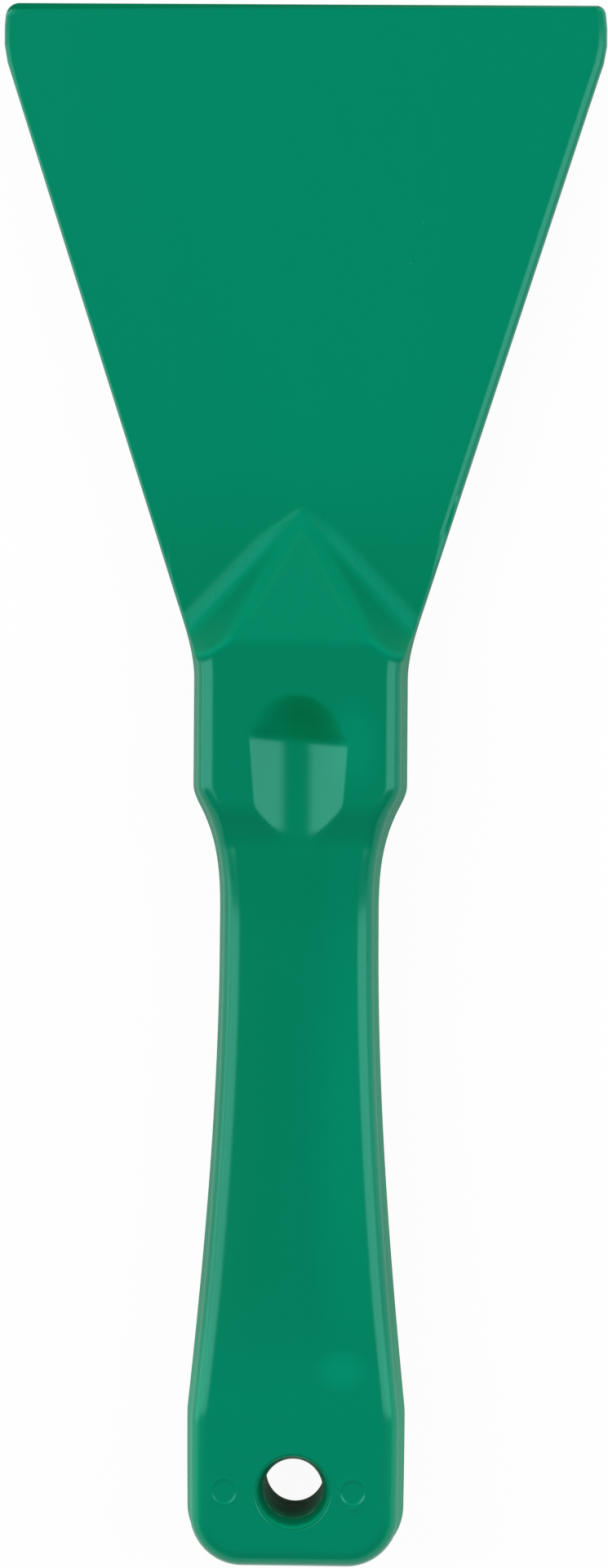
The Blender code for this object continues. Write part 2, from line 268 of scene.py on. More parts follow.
def flankHeight(x, y):
    # side of the V: one flank from the wedge's point, and a steeper one across the bolster's front corner
    s = scraper
    turn, slope = math.radians(s["wedgeAngle"]), math.radians(s["flankAngle"])
    blunt = s["wedgeBlunt"]
    across = np.sqrt(x ** 2 + blunt ** 2) - blunt / 2
    behind = wedgePoint + s["wedgeLead"] - y
    inside = math.sin(turn) * behind - math.cos(turn) * across
    along = math.cos(turn) * behind + math.sin(turn) * across
    radius = np.interp(along, [0, s["armLength"]], [s["armRadiusPoint"], s["armRadiusEnd"]])
    flank = hollowRise(inside, slope, radius)
    turn, slope = math.radians(s["cornerAngle"]), math.radians(s["cornerSlope"])
    foot = (halfThickness - s["bladeThick"]) / math.tan(slope)
    behind = faceFront + s["cornerAhead"] - y
    inside = foot + math.sin(turn) * behind - math.cos(turn) * (across - s["cornerX"])
    corner = hollowRise(inside, slope, s["cornerRadius"])
    upper = smoothRamp(np.maximum(flank, corner), *ramps["cornerUp"])
    return s["bladeThick"] + softMax(flank, corner, 0.01 + s["cornerSoft"] * upper)


def bladeHeight(x, y, inset, inCorner):
    # flat blade with rounded sides and a steep chamfer along the scraping edge
    s = scraper
    leftRound = s["bladeRoundLeft"] + s["bulgeRound"] * smoothRamp(y - bladeShoulder, *ramps["bulgeRounder"])
    share = np.clip(inset / np.where(x < 0, leftRound, s["bladeRoundRight"]), 0, 1)
    side = s["bladeThick"] * np.sqrt(1 - (1 - share) ** 2)
    ahead = np.where(inCorner, inset, scrapingEdge - y)
    lip = s["edgeLip"] * np.sqrt(np.clip(ahead / s["lipRound"], 0, 1))
    reach = s["edgeChamfer"] - s["chamferTaper"] * x
    chamfer = lip + np.maximum(ahead - s["lipDepth"], 0) * (s["bladeThick"] - s["edgeLip"]) / reach
    flat = softMin(chamfer, s["bladeThick"] + 0 * chamfer, s["chamferSoft"])
    return softMin(side, flat, s["bladeSideSoft"] * share)


def hollowHeight(x, y):
    # round channel from a crease toward the tail, and a narrower ball-shaped bowl from the crease toward
    # the blade; returns its height and how far a point lies on the bowl's side
    s = scraper
    radius = s["hollowRadius"]
    x = x - s["hollowShift"]
    ahead = y - hollowCrease + math.tan(math.radians(s["hollowTurn"])) * x
    deepest = halfThickness - s["hollowDepth"] + radius
    channel = deepest - np.sqrt(np.clip(radius ** 2 - x ** 2, 0.01, None))
    channel = channel - math.tan(math.radians(s["hollowFloor"])) * ahead
    narrow = 1 + s["hollowNarrow"] * smoothRamp(ahead, *ramps["bowlNarrower"])
    ball = np.sqrt(np.clip(radius ** 2 - narrow * x ** 2 - np.maximum(ahead, 0) ** 2, 0.01, None))
    bowl = deepest - ball + math.tan(math.radians(s["hollowFront"])) * ahead
    return softMax(channel, bowl, s["hollowCreaseSoft"]), smoothRamp(ahead, *ramps["bowlFront"])


def markDepth(x, y):
    # shallow round recess with a thin burr on its rim, and on one mark a small three-sided nib
    m = markForm
    depth = 0 * x
    for mark in ejectorMarks:
        middle = holePlace - mark["back"]
        away = np.hypot(x - mark["x"], y - middle) - mark["radius"]
        depth = depth + mark["depth"] * (1 - smoothRamp(away, -m["wall"], 0.0))
        depth = depth - mark["burr"] * np.exp(-(away / m["burrWidth"]) ** 2)
        along = (middle - mark["radius"] - m["nibGap"]) - y
        width = m["nibHalf"] - m["nibTaper"] * along
        sideRound, tipRound = m["nibRound"]
        inside = smoothRamp(width - abs(x - mark["x"]), 0, sideRound) * smoothRamp(along, 0, tipRound)
        depth = depth - mark["nib"] * inside
    return depth


def halfHeight(x, y, front):
    # distance of the face from the parting plane at every point of the plan, and its shares of the
    # painted shade on the flanks, the painted highlight on the fillet at the wedge's foot and along the
    # corner line, the painted shade in the bowl, and all that is unpolished
    s = scraper
    inset, inCorner = insetFromSide(x, y)
    onHandle = smoothRamp(y - padFront, *ramps["handleCrowned"])
    onHandle = onHandle * (1 - smoothRamp(y - rearFoot, *ramps["handleFlat"]))
    body = wallHeight(inset, np.maximum(bodyTop(y), 0.3))
    crown = s["handleCrown"] * onHandle * (x / s["waistHalf"]) ** 2
    body = body - crown * smoothRamp(body, *ramps["wallCrowned"])
    ridge = s["ridgeSoft"] * smoothRamp(body, *ramps["ridgeUp"])
    wider = smoothRamp(y - faceFront, *ramps["ridgeWider"])
    ridge = ridge * (s["ridgeLeast"] + (1 - s["ridgeLeast"]) * wider)

    flank = flankHeight(x, y)
    above = flank - s["bladeThick"]
    offSide = smoothRamp(inset, *ramps["offSide"])
    clear = smoothRamp(body - flank, *ramps["flankClear"]) * offSide
    # painted shade: the flanks' share paints them a deeper green
    flankShade = clear * smoothRamp(above, *ramps["flankUp"])
    matt = smoothRamp(body - flank, *ramps["mattNear"]) * offSide * smoothRamp(above, *ramps["mattUp"])
    # painted highlight: the fillet at the wedge's foot, which is also rougher, and the corner line where the
    # flanks meet the bolster's face are painted paler
    footHighlightAndMatt = clear * smoothRamp(above, *ramps["footStart"]) * (1 - smoothRamp(above, *ramps["footEnd"]))
    cornerHighlight = offSide * np.exp(-((body - flank) / s["cornerLine"]) ** 2)
    lineEnd = ramps["cornerLineEnd"]
    footHighlightAndMatt = np.maximum(footHighlightAndMatt, cornerHighlight * smoothRamp(faceFront + lineEnd[1] - y, *lineEnd))
    body = softMin(body, flank, ridge + 0.01)
    blade = bladeHeight(x, y, inset, inCorner) * smoothRamp(y - sidesFront, *ramps["bladeIn"])
    height = np.maximum(body, blade)

    hollow, atFront = hollowHeight(x, y)
    fromCrease = abs(y - hollowCrease)
    # the bowl's front is unpolished, and it is painted in shade, darkest a little right of its middle
    bowlMattAndShade = atFront * smoothRamp(height - hollow, *ramps["bowlUnder"]) * (fromCrease < s["bowlReach"])
    matt = np.maximum(matt, bowlMattAndShade)
    bowlMattAndShade = bowlMattAndShade * np.exp(-((x - s["hollowShadeX"]) / s["hollowShade"]) ** 2)
    soft = s["hollowSoft"] + atFront * (s["hollowFrontSoft"] - s["hollowSoft"])
    nearHollow = (abs(x) < s["hollowRadius"] * 0.95) & (fromCrease < s["hollowReach"])
    height = np.where(nearHollow, softMin(height, hollow, soft), height)
    if front:
        height = height - markDepth(x, y)
    shares = {"flank": flankShade, "foot": footHighlightAndMatt, "bowl": bowlMattAndShade, "matt": matt}
    return np.where(inset > 0, np.maximum(height, 0), 0), shares


def insetSteps():
    # insets that follow the flash, the drafted wall and the fillet
    draft = math.radians(scraper["draft"])
    radius = scraper["fillet"]
    centre = (radius + (halfThickness - radius) * math.sin(draft)) / math.cos(draft)
    wallTop = centre - radius * math.cos(draft)
    wall = scraper["flash"] + np.linspace(0.01, wallTop, grid["wallSteps"])
    turn = np.linspace(draft, math.pi / 2, grid["filletSteps"] + 1)[1:]
    return np.concatenate([[0, scraper["flash"]], wall, scraper["flash"] + centre - radius * np.cos(turn)])


def spread(start, end, step):
    count = max(1, round((end - start) / step))
    return start + (end - start) * np.arange(count) / count


def rowPlaces():
    # places along y: close together where the surface turns, wide apart on the plain handle and blade
    g = grid
    steps = insetSteps()
    fine = g["fine"]
    block = fine * (hangingHole["blockCells"] + g["holeMargin"])
    rows = [
        tailEnd + steps[:-1],
        spread(tailEnd + steps[-1], holePlace - block, g["tailStep"]),
        spread(holePlace - block, holePlace, fine),
        spread(holePlace, holePlace + block, fine),
        spread(holePlace + block, padFront - g["creaseReach"], g["padStep"]),
        spread(padFront - g["creaseReach"], padFront + g["creaseReach"], g["creaseStep"]),
        spread(padFront + g["creaseReach"], rearFoot - g["footReach"], g["handleStep"]),
        spread(rearFoot - g["footReach"], wedgePoint + g["pointReach"], fine),
        spread(wedgePoint + g["pointReach"], wedgePoint + g["farReach"], g["pointStep"]),
        spread(wedgePoint + g["farReach"], scrapingEdge - steps[-1], g["bladeStep"]),
        scrapingEdge - steps[::-1],
    ]
    return np.concatenate(rows)


def warpToCircle(x, y, rows, columns, rowMid, columnMid, cells, centre, radii, reach):
    # bends the square rings of cells round a point of the grid into circles of the given radii
    a = (rows - rowMid) / cells
    b = (columns - columnMid) / cells
    ring = np.maximum(abs(a), abs(b))
    tall = abs(a) > abs(b)
    turn = math.pi / 4 * np.where(tall, b, a) / np.maximum(np.where(tall, abs(a), abs(b)), 1e-9)
    unitX = np.where(tall, np.sin(turn), np.sign(b) * np.cos(turn))
    unitY = np.where(tall, np.sign(a) * np.cos(turn), np.sin(turn))
    radius = np.interp(ring * cells, np.arange(len(radii)), radii)
    hold = 1 - smoothRamp(ring, 1.0 + 1.01 / cells, reach)
    return x + hold * (centre[0] + radius * unitX - x), y + hold * (centre[1] + radius * unitY - y)


def planGrid(front):
    # x and y of every grid point, with the cells round the hole and the marks bent into circles
    places = rowPlaces()
    steps = insetSteps()
    inner = 1 - np.arange(1, grid["innerColumns"] + 1) / grid["innerColumns"]
    sides = []
    for side in (-1, 1):
        edge = outlineHalfWidth(places, side)[:, None]
        sides.append(side * np.concatenate([edge - steps, (edge - steps[-1]) * inner], axis=1))
    x = np.concatenate([sides[0], sides[1][:, -2::-1]], axis=1)
    y = np.repeat(places[:, None], x.shape[1], axis=1)
    rows, columns = np.indices(x.shape)
    middle = x.shape[1] // 2
    holeRow = int(np.argmin(abs(places - holePlace)))
    h = hangingHole
    cells = h["blockCells"]
    radii = (h["mouthRadius"] + h["lip"]) / cells * np.arange(3 * cells)
    centre = (h["aside"], holePlace)
    x, y = warpToCircle(x, y, rows, columns, holeRow, middle, cells, centre, radii, h["reach"])
    if front:
        m = markForm
        spacing = (scraper["tailHalf"] - steps[-1]) / grid["innerColumns"]
        for mark in ejectorMarks:
            centre = (mark["x"], holePlace - mark["back"])
            column = middle + round(mark["x"] / spacing)
            r = mark["radius"]
            radii = [share * r for share in m["inner"]] + [r + past for past in m["rim"]]
            radii += [radii[-1] + m["outerStep"] * step for step in range(1, m["outerRings"] + 1)]
            x, y = warpToCircle(x, y, rows, columns, holeRow, column, m["cells"], centre, radii, m["reach"])
    return x, y, holeRow, middle


def makeBody():
    # the front face and the back face are two height grids that share their rim on the parting plane
    x, y, holeRow, middle = planGrid(True)
    backX, backY = planGrid(False)[:2]
    z, frontShares = halfHeight(x, y, True)
    backZ, backShares = halfHeight(backX, backY, False)
    # the scraping edge is trimmed a little out of square
    skew = scraper["edgeSkew"]
    y = y - skew * (x + widest) * smoothRamp(y - scrapingEdge, *ramps["skewed"])
    backY = backY - skew * (backX + widest) * smoothRamp(backY - scrapingEdge, *ramps["skewed"])
    count = x.size
    frontIndex = np.arange(count).reshape(x.shape)
    inner = np.zeros(x.shape, bool)
    inner[1:-1, 1:-1] = True
    backIndex = np.where(inner, 0, frontIndex)
    backIndex[inner] = count + np.arange(inner.sum())
    z[~inner] = 0
    points = [np.stack([x, y, z], axis=-1).reshape(-1, 3), np.stack([backX, backY, -backZ], axis=-1)[inner]]

    cells = hangingHole["blockCells"]
    low, high = holeRow - cells, holeRow + cells
    left, right = middle - cells, middle + cells
    keep = np.ones((x.shape[0] - 1, x.shape[1] - 1), bool)
    keep[low:high, left:right] = False

    def quads(index):
        return np.stack([index[:-1, :-1], index[:-1, 1:], index[1:, 1:], index[1:, :-1]], axis=-1)[keep]

    faces = [quads(frontIndex), quads(backIndex)[:, ::-1]]

    # wall of the hole: rings from the front rim down the mouth and the bore to the back rim
    rimRows = np.concatenate([np.full(2 * cells, low), np.arange(low, high),
                              np.full(2 * cells, high), np.arange(high, low, -1)])
    rimColumns = np.concatenate([np.arange(left, right), np.full(2 * cells, right),
                                 np.arange(right, left, -1), np.full(2 * cells, left)])
    frontRim, backRim = frontIndex[rimRows, rimColumns], backIndex[rimRows, rimColumns]
    axis = [hangingHole["aside"], holePlace]
    outward = points[0][frontRim][:, :2] - axis
    outward = outward / np.linalg.norm(outward, axis=1, keepdims=True)
    loops = [frontRim]
    nextPoint = count + inner.sum()
    for radius, height in holeProfile():
        points.append(np.column_stack([outward * radius + axis, np.full(len(outward), height)]))
        loops.append(nextPoint + np.arange(len(outward)))
        nextPoint += len(outward)
    loops.append(backRim)
    for upper, lower in zip(loops, loops[1:]):
        faces.append(np.stack([upper, lower, np.roll(lower, -1), np.roll(upper, -1)], axis=-1))
    everyPoint = np.concatenate(points) * mm
    everyPoint[:, 2] += midHeight
    thing = meshObject("moulded_scraper", everyPoint, np.concatenate(faces))
    # each point carries its shares of painted shade, painted highlight and unpolished finish
    for name, share in frontShares.items():
        shares = np.zeros(len(everyPoint), np.float32)
        shares[:count] = share.ravel()
        shares[count:count + inner.sum()] = backShares[name][inner]
        thing.data.attributes.new(name, "FLOAT", "POINT").data.foreach_set("value", shares)
    return thing


def holeProfile():
    # radius and height down the wall: rounded lip, flared mouth, bore, and the same again to the back
    h = hangingHole
    turn = np.linspace(0, math.pi / 2, h["lipRings"] + 1)[1:]
    lipRadius = h["mouthRadius"] + h["lip"] * (1 - np.sin(turn))
    lipHeight = padTop - h["lip"] * (1 - np.cos(turn))
    t = np.linspace(1, 0, h["mouthRings"] + 1)[1:]
    mouthLow = halfThickness - h["mouthDepth"]
    throat = h["radius"] + h["throatStep"]
    mouthRadius = throat + (h["mouthRadius"] - throat) * t ** h["mouthCurve"]
    mouthHeight = mouthLow + (lipHeight[-1] - mouthLow) * t
    bore = np.linspace(mouthLow - h["throatDrop"], 0, h["boreRings"] + 1)
    radius = np.concatenate([lipRadius, mouthRadius, np.full(len(bore), h["radius"])])
    height = np.concatenate([lipHeight, mouthHeight, bore])
    half = np.column_stack([radius, height])
    return np.concatenate([half, half[-2::-1] * [1, -1]])


def meshObject(name, points, faces):
    # mesh of four-sided faces from whole arrays
    mesh = bpy.data.meshes.new(name)
    mesh.vertices.add(len(points))
    mesh.vertices.foreach_set("co", points.astype(np.float32).ravel())
    mesh.loops.add(faces.size)
    mesh.loops.foreach_set("vertex_index", faces.astype(np.int32).ravel())
    mesh.polygons.add(len(faces))
    mesh.polygons.foreach_set("loop_start", np.arange(0, faces.size, 4, dtype=np.int32))
    mesh.update(calc_edges=True)
    mesh.validate()
    mesh.shade_smooth()
    thing = bpy.data.objects.new(name, mesh)
    bpy.context.scene.collection.objects.link(thing)
    return thing


def linearColour(hexColour):
    # sRGB hex to the linear values that a socket takes
    values = [int(hexColour[i:i + 2], 16) / 255 for i in (1, 3, 5)]
    return [v / 12.92 if v <= 0.04045 else ((v + 0.055) / 1.055) ** 2.4 for v in values] + [1]


def addNode(tree, kind, settings=None, inputs=None, links=None):
    # one node with its settings, its fixed inputs and the sockets that feed it; a socket goes by its name,
    # or by its number where a node has several of one name
    node = tree.nodes.new(kind)
    for name, value in (settings or {}).items():
        setattr(node, name, value)
    for name, value in (inputs or {}).items():
        node.inputs[name].default_value = value
    for name, source in (links or {}).items():
        tree.links.new(source, node.inputs[name])
    return node


# Polypropylene, injection moulded in a polished steel mould: an even, saturated colour right through,
# a soft gloss that mirrors a lamp with a slightly blurred edge, faint flow marks and a few handling nicks.
# Lengths are in millimetres.
greenPlastic = {
    "colour": "#008763", "deepColour": "#00805C", "highlightTint": "#9BFFF3", "ior": 1.49,
    "roughness": 0.18, "roughnessSpread": 0.015, "gloss": 0.5,
    # dull walls and unpolished places; how upright a normal is where a wall turns dull, 1 being straight up
    "wallRoughness": 0.5, "wallGloss": 0.05, "wallTurn": (0.45, 0.12), "glossGone": 0.4,
    "footRoughShare": 0.3, "footGlossLoss": 0.11,
    # painted highlight at the wedge's foot, painted shade on the flanks and in the bowl
    "footHighlightColour": "#008A68", "flankShadeColour": "#007B57", "bowlShadeColour": "#00774A",
    # painted light: paler tail and blade, and where each sets in, counted from the pad's front and the
    # wedge's point, and paler spots of painted light
    "paintedLightColour": "#00926F", "paleTail": 0.45, "tailFade": (22, -5), "paleBlade": 0.27, "bladeFade": (-10, 8),
    "paintedLightSpots": [
        {"place": (7.8, -98.0), "size": (5.5, 4.5), "share": 1.0},
        {"place": (9.5, -58.0), "size": (8.5, 50.0), "share": 0.5},
        {"place": (9.0, 6.5), "size": (5.0, 8.0), "share": 0.5},
    ],
    # spots' fade; the painted highlight on the pad's rounded rim, set by how upright its normal is
    "spotFade": (1.2, 0.2), "rimHighlightColour": "#00966D", "rimTurn": (0.99, 0.85),
    # painted shade on the trimmed scraping edge and in the hanging hole, where the gloss is also gone
    "edgeAndHoleShadeColour": "#006A48", "wornGloss": 0.003,
    "edgeTilt": 0.0046, "edgeFade": (-1.5, -0.85), "holeFade": 0.5,
    # painted reflection in the bore, a greyer green in patches; each band: height over the parting plane,
    # half width of the band and of its thick middle
    "boreReflectionColour": "#4E7A5E", "boreReflectionGrain": 1.3, "boreReflectionThin": 0.25,
    "boreReflectionBands": [(-4.0, 6.5, 2.0), (7.05, 0.45, 0.1)],
    "flowLength": 34.0, "flowStretch": 2.5, "peelGrain": 1.6, "peelDepth": 0.004,
    "scuffLength": 7.0, "scuffWidth": 0.35,
    "nickSpacing": 19.0, "nickSize": 0.22, "nickShare": 0.22, "nickColour": "#58B496",
}


def mouldedPlastic():
    g = greenPlastic
    ramp, highest = {"interpolation_type": "SMOOTHSTEP"}, {"operation": "MAXIMUM"}
    product, productPlus = {"operation": "MULTIPLY"}, {"operation": "MULTIPLY_ADD"}
    material = bpy.data.materials.new("green moulded polypropylene")
    material.use_nodes = True
    tree = material.node_tree
    shader = tree.nodes["Principled BSDF"]
    shader.inputs["IOR"].default_value = g["ior"]
    shader.inputs["Specular Tint"].default_value = linearColour(g["highlightTint"])
    place = addNode(tree, "ShaderNodeTexCoord").outputs["Object"]
    apart = addNode(tree, "ShaderNodeSeparateXYZ", links={"Vector": place}).outputs
    along, up = apart["Y"], apart["Z"]
    # shares of painted shade on the flanks and in the bowl, of painted highlight and roughness at the wedge's
    # foot, and of the unpolished places
    flank, foot, bowl, unpolished = [
        addNode(tree, "ShaderNodeAttribute", {"attribute_name": name}).outputs["Fac"]
        for name in ("flank", "foot", "bowl", "matt")]

    # pigment spread by the melt: long soft clouds along the flow, a few shades apart
    flow = addNode(tree, "ShaderNodeMapping", links={"Vector": place},
                   inputs={"Scale": (1.0, 1 / g["flowStretch"], 1.0)})
    clouds = addNode(tree, "ShaderNodeTexNoise", links={"Vector": flow.outputs[0]},
                     inputs={"Scale": 1 / (g["flowLength"] * mm), "Detail": 3.0})
    colour = addNode(tree, "ShaderNodeMix", {"data_type": "RGBA"}, links={"Factor": clouds.outputs["Fac"]},
                     inputs={"A": linearColour(g["deepColour"]), "B": linearColour(g["colour"])})

    # hairline scuffs from use, along the stroke, drawn wider than the real ones so that they show
    crosswise, lengthwise = 1 / (g["scuffWidth"] * mm), 1 / (g["scuffLength"] * mm)
    stretched = addNode(tree, "ShaderNodeMapping", links={"Vector": place},
                        inputs={"Scale": (crosswise, lengthwise, lengthwise)})
    scuffs = addNode(tree, "ShaderNodeTexNoise", links={"Vector": stretched.outputs[0]},
                     inputs={"Scale": 1.0, "Detail": 1.0})
    rough = addNode(tree, "ShaderNodeMapRange", links={"Value": scuffs.outputs["Fac"]}, inputs={
        "From Min": 0.35, "From Max": 0.75,
        "To Min": g["roughness"] - g["roughnessSpread"] / 2, "To Max": g["roughness"] + g["roughnessSpread"]})

    # painted light: the tail and the thin blade are painted a shade paler, and so are the handle's right side
    # and a smear beside the pad, which is a painted highlight
    tailStart, tailFull = g["tailFade"]
    atTail = addNode(tree, "ShaderNodeMapRange", ramp, links={"Value": along}, inputs={
        "From Min": (padFront + tailStart) * mm, "From Max": (padFront + tailFull) * mm}).outputs[0]
    tail = addNode(tree, "ShaderNodeMath", product, {1: g["paleTail"]}, {0: atTail})
    bladeStart, bladeFull = g["bladeFade"]
    atBlade = addNode(tree, "ShaderNodeMapRange", ramp, links={"Value": along}, inputs={
        "From Min": (wedgePoint + bladeStart) * mm, "From Max": (wedgePoint + bladeFull) * mm,
        "To Max": g["paleBlade"]})
    paintedLight = addNode(tree, "ShaderNodeMath", highest, links={0: tail.outputs[0], 1: atBlade.outputs[0]})
    spotEdge, spotFull = g["spotFade"]
    for spot in g["paintedLightSpots"]:
        (x, y), (width, length) = spot["place"], spot["size"]
        off = addNode(tree, "ShaderNodeMapping", {"vector_type": "TEXTURE"}, links={"Vector": place}, inputs={
            "Location": (x * mm, y * mm, 0), "Scale": (width * mm, length * mm, 1)})
        away = addNode(tree, "ShaderNodeVectorMath", {"operation": "LENGTH"}, links={0: off.outputs[0]})
        pale = addNode(tree, "ShaderNodeMapRange", ramp, links={"Value": away.outputs["Value"]},
                       inputs={"From Min": spotEdge, "From Max": spotFull, "To Max": spot["share"]})
        paintedLight = addNode(tree, "ShaderNodeMath", highest, links={0: paintedLight.outputs[0], 1: pale.outputs[0]})

    # the side walls slid along the mould as it opened, which left them duller than the faces, and the
    # wedge's flanks and the thumb hollow's front come from parts of the mould that were left unpolished
    normal = addNode(tree, "ShaderNodeNewGeometry").outputs["Normal"]
    upright = addNode(tree, "ShaderNodeSeparateXYZ", links={"Vector": normal}).outputs["Z"]
    upright = addNode(tree, "ShaderNodeMath", {"operation": "ABSOLUTE"}, links={0: upright}).outputs[0]
    wall, rounded = [
        addNode(tree, "ShaderNodeMapRange", ramp, links={"Value": upright},
                inputs={"From Min": start, "From Max": end}).outputs[0]
        for start, end in (g["wallTurn"], g["rimTurn"])]
    bare = addNode(tree, "ShaderNodeMath", highest, links={0: wall, 1: unpolished}).outputs[0]
    dull = addNode(tree, "ShaderNodeMath", productPlus, {1: g["footRoughShare"]}, {0: foot, 2: bare})
    dulled = addNode(tree, "ShaderNodeMix", links={"Factor": dull.outputs[0], "A": rough.outputs[0]},
                     inputs={"B": g["wallRoughness"]})
    tree.links.new(dulled.outputs["Result"], shader.inputs["Roughness"])

    # painted highlight: the pad's rim is painted paler where its surface turns, as the wedge's foot is
    rimHighlight = addNode(tree, "ShaderNodeMath", product, links={0: rounded, 1: atTail})

    # the scraping edge, trimmed after moulding and worn by use, and the hanging hole's wall have no gloss,
    # and both are painted darker as painted shade
    acrossEdge = addNode(tree, "ShaderNodeVectorMath", {"operation": "DOT_PRODUCT"}, links={0: place},
                         inputs={1: (-g["edgeTilt"], 1, 0)}).outputs["Value"]
    edgeStart, edgeFull = g["edgeFade"]
    edge = addNode(tree, "ShaderNodeMapRange", ramp, links={"Value": acrossEdge}, inputs={
        "From Min": (scrapingEdge + edgeStart) * mm, "From Max": (scrapingEdge + edgeFull) * mm})
    h = hangingHole
    offAxis = addNode(tree, "ShaderNodeMapping", links={"Vector": place}, inputs={
        "Location": (-h["aside"] * mm, -holePlace * mm, 0), "Scale": (1, 1, 0)})
    fromAxis = addNode(tree, "ShaderNodeVectorMath", {"operation": "LENGTH"}, links={0: offAxis.outputs[0]})
    inHole = addNode(tree, "ShaderNodeMapRange", ramp, links={"Value": fromAxis.outputs["Value"]}, inputs={
        "From Min": h["mouthRadius"] * mm, "From Max": (h["radius"] + g["holeFade"]) * mm}).outputs[0]
    wornAndShaded = addNode(tree, "ShaderNodeMath", highest, links={0: inHole, 1: edge.outputs[0]})

    # painted reflection: a greyer green, in patches, deep in the bore and on the step where the front mouth
    # meets it
    bands = []
    for height, wide, narrow in g["boreReflectionBands"]:
        off = addNode(tree, "ShaderNodeMath", {"operation": "SUBTRACT"}, links={0: up},
                      inputs={1: midHeight + height * mm})
        away = addNode(tree, "ShaderNodeMath", {"operation": "ABSOLUTE"}, links={0: off.outputs[0]})
        bands.append(addNode(tree, "ShaderNodeMapRange", ramp, links={"Value": away.outputs[0]},
                             inputs={"From Min": wide * mm, "From Max": narrow * mm}).outputs[0])
    boreBands = addNode(tree, "ShaderNodeMath", highest, links={0: bands[0], 1: bands[1]})
    patches = addNode(tree, "ShaderNodeTexNoise", links={"Vector": place},
                      inputs={"Scale": 1 / (g["boreReflectionGrain"] * mm), "Detail": 3.0})
    thick = addNode(tree, "ShaderNodeMapRange", links={"Value": patches.outputs["Fac"]},
                    inputs={"From Min": 0.42, "From Max": 0.58, "To Min": g["boreReflectionThin"]})
    inside = addNode(tree, "ShaderNodeMath", product, links={0: inHole, 1: boreBands.outputs[0]})
    boreReflection = addNode(tree, "ShaderNodeMath", product, links={0: inside.outputs[0], 1: thick.outputs[0]})

    # gloss is low on the dull surfaces, and all but gone in the hole and on the edge; round a dull surface it
    # fades before the roughness rises
    weak = addNode(tree, "ShaderNodeMath", productPlus, {1: g["footGlossLoss"]}, {0: foot, 2: bare})
    faded = addNode(tree, "ShaderNodeMapRange", links={"Value": weak.outputs[0]},
                    inputs={"From Max": g["glossGone"]})
    level = addNode(tree, "ShaderNodeMix", links={"Factor": faded.outputs[0]},
                    inputs={"A": g["gloss"], "B": g["wallGloss"]})
    level = addNode(tree, "ShaderNodeMix", links={"Factor": wornAndShaded.outputs[0], "A": level.outputs["Result"]},
                    inputs={"B": g["wornGloss"]})
    tree.links.new(level.outputs["Result"], shader.inputs["Specular IOR Level"])

    # nicks: one small pale fleck here and there
    cells = addNode(tree, "ShaderNodeTexVoronoi", links={"Vector": place},
                    inputs={"Scale": 1 / (g["nickSpacing"] * mm)})
    nick = g["nickSize"] / g["nickSpacing"]
    fleck = addNode(tree, "ShaderNodeMapRange", links={"Value": cells.outputs["Distance"]},
                    inputs={"From Min": nick, "From Max": 0.4 * nick, "To Max": g["nickShare"]})

    # each colour, the painted light, highlights, shade and reflection among them, covers the ones before it
    # by its share
    coat = colour.outputs["Result"]
    for share, layer in (
            (paintedLight.outputs[0], "paintedLightColour"), (rimHighlight.outputs[0], "rimHighlightColour"), (foot, "footHighlightColour"),
            (flank, "flankShadeColour"), (bowl, "bowlShadeColour"), (wornAndShaded.outputs[0], "edgeAndHoleShadeColour"),
            (boreReflection.outputs[0], "boreReflectionColour"), (fleck.outputs[0], "nickColour")):
        coat = addNode(tree, "ShaderNodeMix", {"data_type": "RGBA"}, {"B": linearColour(g[layer])},
                       {"Factor": share, "A": coat}).outputs["Result"]
    tree.links.new(coat, shader.inputs["Base Color"])

    # orange peel of a moulded face, far shallower than it is wide
    peel = addNode(tree, "ShaderNodeTexNoise", links={"Vector": place},
                   inputs={"Scale": 1 / (g["peelGrain"] * mm), "Detail": 2.0})
    bump = addNode(tree, "ShaderNodeBump", links={"Height": peel.outputs["Fac"]},
                   inputs={"Strength": 1.0, "Distance": g["peelDepth"] * mm})
    tree.links.new(bump.outputs[0], shader.inputs["Normal"])
    return material


body = makeBody()
body.data.materials.append(mouldedPlastic())
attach(body, "root")
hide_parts("scraper_body")
print("scraper: body made,", len(body.data.polygons), "faces")

# Camera high over the bolster, a little to its right, aimed at the middle of the scraper. Places and distance
# are in metres, the lens and the sensor in millimetres, and the roll in degrees.
view = {
    "overX": 0.0155, "overY": 0.004, "distance": 0.600, "aimX": 0.00064, "aimY": -0.00014,
    "lens": 81.4, "sensor": 36.0, "roll": 0.39,
}


def makeCamera():
    data = bpy.data.cameras.new("camera")
    data.lens = view["lens"]
    data.sensor_width = view["sensor"]
    camera = bpy.data.objects.new("camera", data)
    bpy.context.scene.collection.objects.link(camera)
    stand = Vector((view["overX"], view["overY"], midHeight + view["distance"]))
    back = (stand - Vector((view["aimX"], view["aimY"], midHeight))).normalized()
    right = Vector((0, 1, 0)).cross(back).normalized()
    turned = Matrix((right, back.cross(right), back)).transposed()
    turned = turned @ Matrix.Rotation(math.radians(view["roll"]), 3, "Z")
    camera.matrix_world = Matrix.Translation(stand) @ turned.to_4x4()
    bpy.context.scene.camera = camera


makeCamera()
print("scraper: camera placed")

